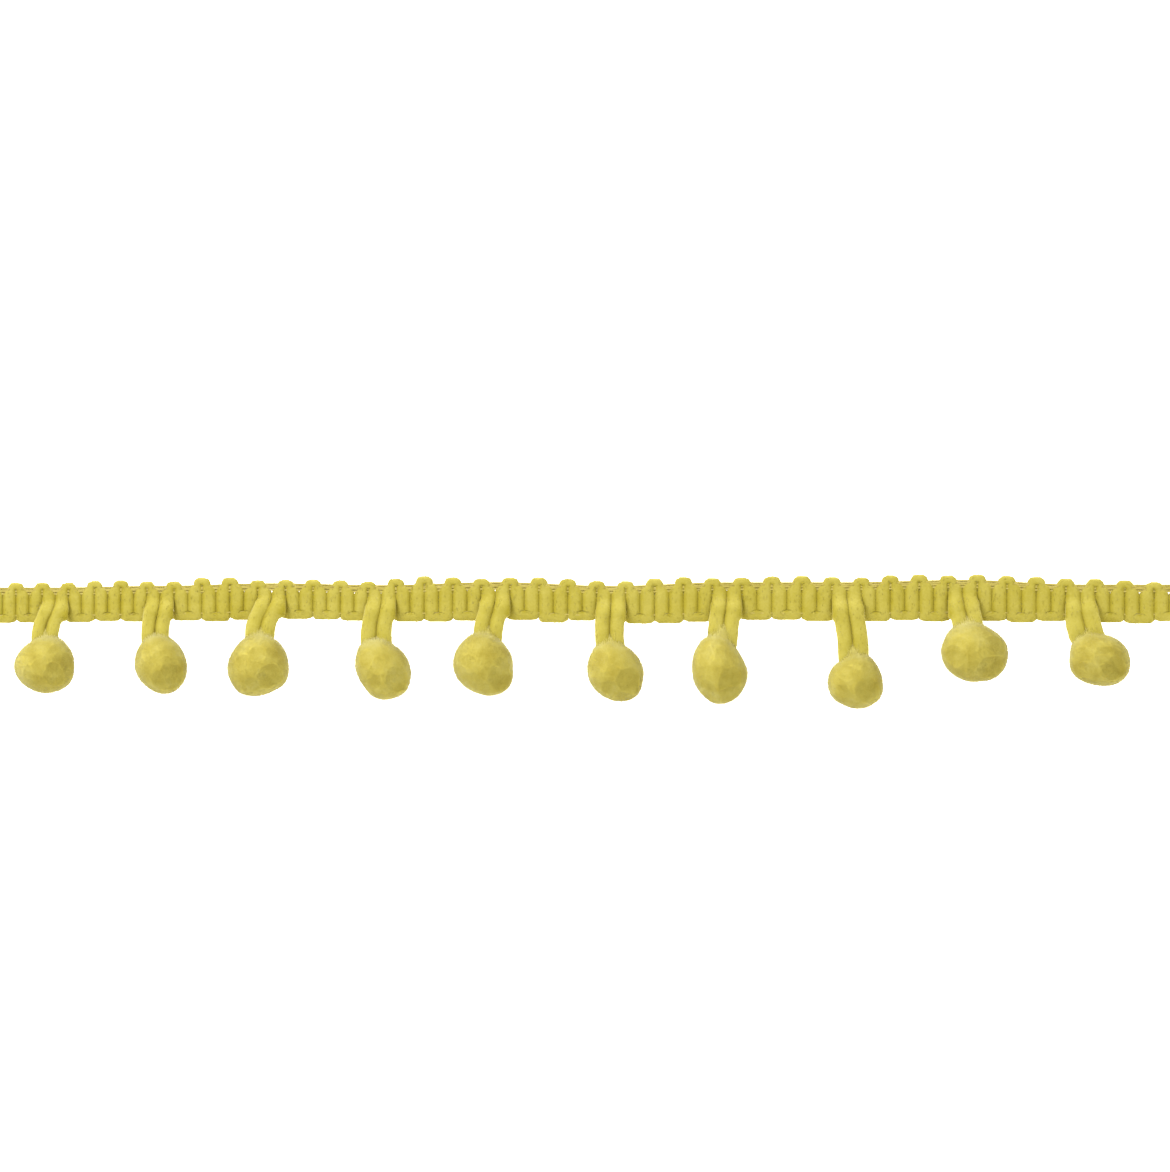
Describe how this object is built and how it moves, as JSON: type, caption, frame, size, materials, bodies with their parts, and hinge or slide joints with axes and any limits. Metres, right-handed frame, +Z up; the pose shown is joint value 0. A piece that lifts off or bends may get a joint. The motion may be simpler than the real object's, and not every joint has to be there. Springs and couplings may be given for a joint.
{
  "type": "pompom fringe trim",
  "caption": "Cut length of mini pompom fringe: a soft gimp cord bound up and down into a narrow braid, with long loops that carry small dense pompoms, lying flat.",
  "frame": {"origin": "on the surface the trim lies on, under the head binding, halfway along the length: the sewing line", "axes": "+X along the trim, +Y to its scalloped edge, away from the pompoms, +Z up out of its face"},
  "size_m": [0.2157, 0.0236, 0.0098],
  "materials": {
    "gimp_cord_yarn": "soft matte yarn, mustard yellow",
    "binding_thread": "fine matte thread, mustard yellow, a little paler",
    "pompom_pile": "dense sheared pile, mustard yellow"
  },
  "bodies": {
    "root": {"gimp_cord": "gimp_cord_yarn", "binding_edge": "binding_thread", "binding_head": "binding_thread", "binding_foot": "binding_thread", "pompom_01": "pompom_pile", "pompom_02": "pompom_pile", "pompom_03": "pompom_pile", "pompom_04": "pompom_pile", "pompom_05": "pompom_pile", "pompom_06": "pompom_pile", "pompom_07": "pompom_pile", "pompom_08": "pompom_pile", "pompom_09": "pompom_pile", "pompom_10": "pompom_pile"}
  },
  "joints": []
}
